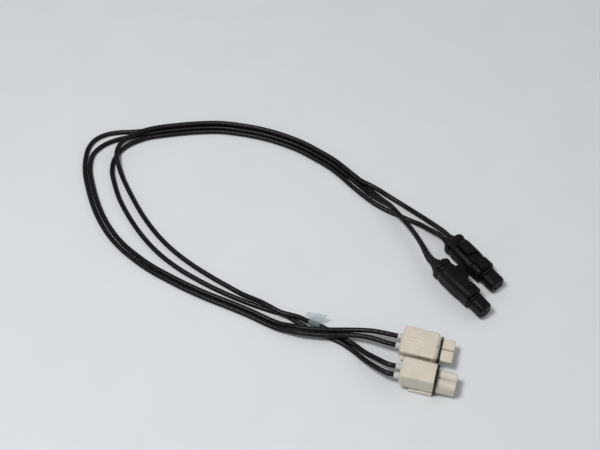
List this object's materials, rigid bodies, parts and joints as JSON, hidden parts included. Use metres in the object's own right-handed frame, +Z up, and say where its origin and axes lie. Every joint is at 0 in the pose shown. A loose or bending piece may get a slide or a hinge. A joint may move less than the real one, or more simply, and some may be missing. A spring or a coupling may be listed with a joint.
{
  "type": "two-lead connector cable set",
  "caption": "Loose set of short two-core leads with pale sealed plugs at one end and black latching plugs at the other, lying in one open loop, with a clear marker flag on a wire.",
  "frame": {"origin": "on the table, under the middle of the four plugs; the wires and the flag are left out of that box", "axes": "+Z up from the table, +Y towards the far side of the picture, +X towards its right"},
  "size_m": [0.2099, 0.1641, 0.0127],
  "materials": {
    "pale_plastic": "satin",
    "black_plastic": "satin",
    "black_rubber": "matt",
    "pale_rubber": "matt",
    "brass": "bright",
    "wire_jacket": "satin",
    "clear_film": "clear"
  },
  "bodies": {
    "cable_set": {"lead1_white_housing": "pale_plastic", "lead1_white_front_seal": "black_rubber", "lead1_white_wire_seal_left": "pale_rubber", "lead1_white_wire_seal_right": "pale_rubber", "lead1_white_terminal_left": "brass", "lead1_white_terminal_right": "brass", "lead1_black_grommet": "black_rubber", "lead1_black_rear_cap": "black_plastic", "lead1_black_body": "black_plastic", "lead1_black_nose": "black_plastic", "lead1_black_nose_seal": "black_rubber", "lead1_black_contact_left": "brass", "lead1_black_contact_right": "brass", "lead2_white_housing": "pale_plastic", "lead2_white_front_seal": "black_rubber", "lead2_white_wire_seal_left": "pale_rubber", "lead2_white_wire_seal_right": "pale_rubber", "lead2_white_terminal_left": "brass", "lead2_white_terminal_right": "brass", "lead2_black_grommet": "black_rubber", "lead2_black_rear_cap": "black_plastic", "lead2_black_body": "black_plastic", "lead2_black_nose": "black_plastic", "lead2_black_nose_seal": "black_rubber", "lead2_black_contact_left": "brass", "lead2_black_contact_right": "brass", "lead1_wire_lower": "wire_jacket", "lead1_wire_upper": "wire_jacket", "lead2_wire_near": "wire_jacket", "lead2_wire_far": "wire_jacket", "marker_flag": "clear_film"},
    "lead1_white_latch_arm": {"lead1_white_latch": "pale_plastic"},
    "lead2_white_latch_arm": {"lead2_white_latch": "pale_plastic"},
    "lead1_black_latch_arm": {"lead1_black_latch": "black_plastic"},
    "lead2_black_latch_arm": {"lead2_black_latch": "black_plastic"}
  },
  "joints": [
    {"name": "lead1_white_latch_press", "type": "hinge", "parent": "cable_set", "child": "lead1_white_latch_arm", "pos_m": [-0.00906, -0.02161, 0.0026], "axis": [0.2588, 0.9659, 0], "range_deg": [0, 3.4], "stiffness_Nm_per_rad": 1.6},
    {"name": "lead2_white_latch_press", "type": "hinge", "parent": "cable_set", "child": "lead2_white_latch_arm", "pos_m": [-0.01042, -0.03681, 0.0026], "axis": [0.2521, 0.9677, 0], "range_deg": [0, 3.4], "stiffness_Nm_per_rad": 1.6},
    {"name": "lead1_black_latch_press", "type": "hinge", "parent": "cable_set", "child": "lead1_black_latch_arm", "pos_m": [0.00802, 0.01663, 0.0055], "axis": [0, 0, 1], "range_deg": [0, 5], "stiffness_Nm_per_rad": 0.4},
    {"name": "lead2_black_latch_press", "type": "hinge", "parent": "cable_set", "child": "lead2_black_latch_arm", "pos_m": [0.01271, 0.02949, 0.008], "axis": [-0.7934, -0.6088, 0], "range_deg": [0, 5], "stiffness_Nm_per_rad": 0.4}
  ]
}
